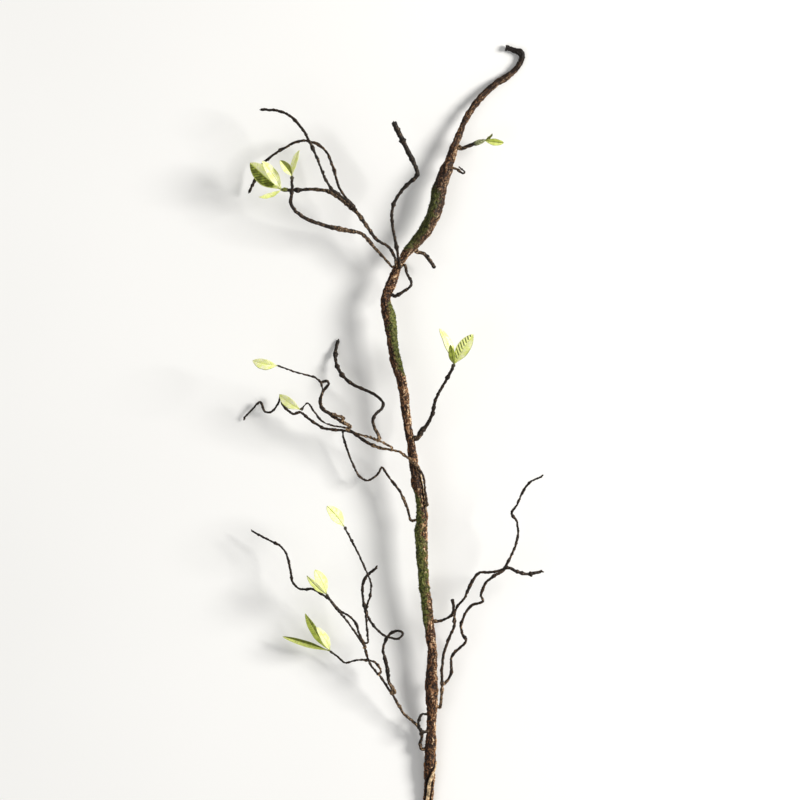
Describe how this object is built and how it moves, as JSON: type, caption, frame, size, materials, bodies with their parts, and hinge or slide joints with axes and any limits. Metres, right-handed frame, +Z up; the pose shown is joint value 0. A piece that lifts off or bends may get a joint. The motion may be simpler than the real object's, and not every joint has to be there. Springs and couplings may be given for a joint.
{
  "type": "willow twig",
  "caption": "Decorative willow twig: a crooked mossy stem with a hooked tip, thin wiry side twigs in bound bundles and ribbed green leaf shoots, lying down.",
  "frame": {"origin": "bottom centre of the twig's bounding box as it lies on a flat surface", "axes": "+Y along the stem from its cut end to its hooked tip, +X across it to the side with fewer twigs, +Z up from the surface"},
  "size_m": [0.3874, 1.0054, 0.1018],
  "materials": {
    "stem_bark": "rough reddish-brown bark with patches of moss",
    "twig_bark": "dark, dull, finely fibrous bark",
    "shoot_green": "matt grey-green young bark",
    "leaf_green": "soft yellow-green leaf with ribbed veins"
  },
  "bodies": {
    "root": {"main_stem": "stem_bark", "crown_curl": "twig_bark", "crown_leaf_twig": "twig_bark", "leaf_crown_1": "leaf_green", "leaf_crown_2": "leaf_green", "leaf_elbow_1": "leaf_green", "leaf_elbow_2": "leaf_green", "leaf_fine_tip_1": "leaf_green", "leaf_low_left_1": "leaf_green", "leaf_low_left_2": "leaf_green", "leaf_mid_left_1": "leaf_green", "leaf_mid_right_1": "leaf_green", "leaf_mid_right_2": "leaf_green", "leaf_mid_right_3": "leaf_green", "leaf_side_1": "leaf_green", "leaf_side_2": "leaf_green", "leaf_side_3": "leaf_green", "leaf_top_left_1": "leaf_green", "leaf_top_left_2": "leaf_green", "leaf_top_left_3": "leaf_green", "leaf_upright_1": "leaf_green", "low_left_bough": "twig_bark", "low_left_curl": "twig_bark", "low_left_long_tip": "twig_bark", "low_left_root_loop": "twig_bark", "low_left_side_twig": "twig_bark", "low_left_upright": "twig_bark", "low_right_bough": "twig_bark", "low_right_stub": "twig_bark", "low_right_zigzag": "twig_bark", "mid_left_bough": "twig_bark", "mid_left_fine_tip": "twig_bark", "mid_left_hook": "twig_bark", "mid_left_peak": "twig_bark", "mid_left_sling": "twig_bark", "mid_left_swan_neck": "twig_bark", "mid_right_twig": "twig_bark", "shoot_crown": "shoot_green", "shoot_elbow": "shoot_green", "shoot_fine_tip": "shoot_green", "shoot_low_left": "shoot_green", "shoot_mid_left": "shoot_green", "shoot_mid_right": "shoot_green", "shoot_side": "shoot_green", "shoot_top_left": "shoot_green", "shoot_upright": "shoot_green", "top_club": "twig_bark", "top_left_bough": "twig_bark", "top_left_elbow": "twig_bark", "top_left_high_arc": "twig_bark", "top_left_low_arc": "twig_bark", "top_right_drop": "twig_bark", "top_right_link": "twig_bark"}
  },
  "joints": []
}
